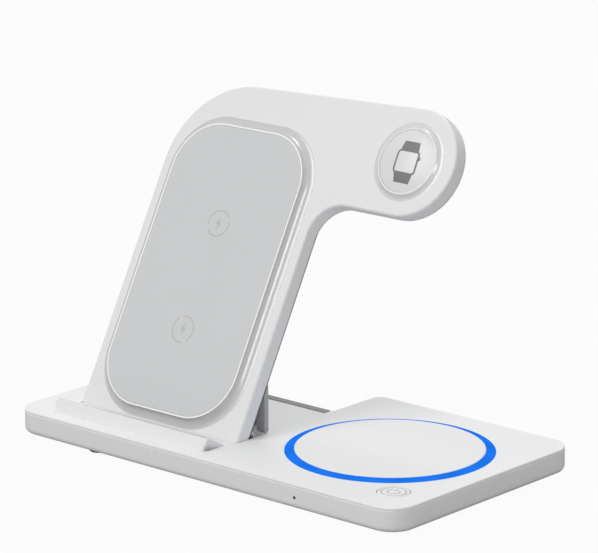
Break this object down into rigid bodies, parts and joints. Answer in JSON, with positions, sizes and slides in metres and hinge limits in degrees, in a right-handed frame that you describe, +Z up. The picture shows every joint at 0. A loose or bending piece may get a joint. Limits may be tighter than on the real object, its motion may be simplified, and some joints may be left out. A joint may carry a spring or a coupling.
{
  "type": "wireless charging station",
  "caption": "Wireless charging station: flat notched base with a lit charging disc, and a seven-shaped panel with a raised phone pad and a watch disc that folds back flat.",
  "frame": {"origin": "centre of the base's bounding rectangle, at the bottom of the feet", "axes": "+X to the right along the base, +Y to the rear, +Z up"},
  "size_m": [0.19, 0.1042, 0.1314],
  "materials": {
    "white_plastic": "smooth satin white",
    "pad_grey": "fine matt light grey",
    "grey_plastic": "satin mid grey",
    "smoked_plastic": "dark clear",
    "black_plastic": "matt black",
    "grey_rubber": "matt dark grey",
    "ferrite": "matt dark grey",
    "board": "green lacquer",
    "copper_wire": "copper wire",
    "small_light": "clear over white",
    "steel": "bright steel",
    "blue_light": "clear, lit blue from inside"
  },
  "bodies": {
    "base": {"base_lid": "white_plastic", "base_tub": "white_plastic", "charging_disc": "white_plastic", "light_ring": "blue_light", "base_coil": "copper_wire", "base_ferrite": "ferrite", "base_circuit_board": "board", "ring_lights": "small_light", "button_switch": "black_plastic", "status_light_pipe": "smoked_plastic", "usb_c_inlet": "steel", "inlet_tongue": "black_plastic", "rubber_feet": "grey_rubber", "base_screws": "steel", "phone_ledge": "white_plastic", "fold_rest_strip": "grey_rubber", "hinge_pins": "steel", "prop_wire": "steel"},
    "button": {"button_cap": "white_plastic"},
    "prop": {"prop_plate": "grey_plastic"},
    "panel": {"panel_front_shell": "white_plastic", "panel_rear_cover": "white_plastic", "phone_pad": "pad_grey", "watch_disc": "white_plastic", "upper_coil": "copper_wire", "lower_coil": "copper_wire", "phone_ferrite": "ferrite", "panel_circuit_board": "board", "watch_coil": "copper_wire", "watch_ferrite": "ferrite", "watch_magnet": "steel", "panel_screws": "steel"}
  },
  "joints": [
    {"name": "panel_fold", "type": "hinge", "parent": "base", "child": "panel", "pos_m": [-0.0403, -0.01873, 0.0092], "axis": [1, 0, 0], "range_deg": [-61.6, 0]},
    {"name": "prop_fold", "type": "hinge", "parent": "base", "child": "prop", "pos_m": [-0.0403, -0.0129, 0.0116], "axis": [1, 0, 0], "range_deg": [-90, 0]},
    {"name": "button_press", "type": "slide", "parent": "base", "child": "button", "axis": [0, 0, -1], "range_m": [0, 0.0006], "stiffness_N_per_m": 400}
  ],
  "couplings": [
    {"joint": "prop_fold", "follows": "panel_fold", "ratio": 1.461}
  ]
}
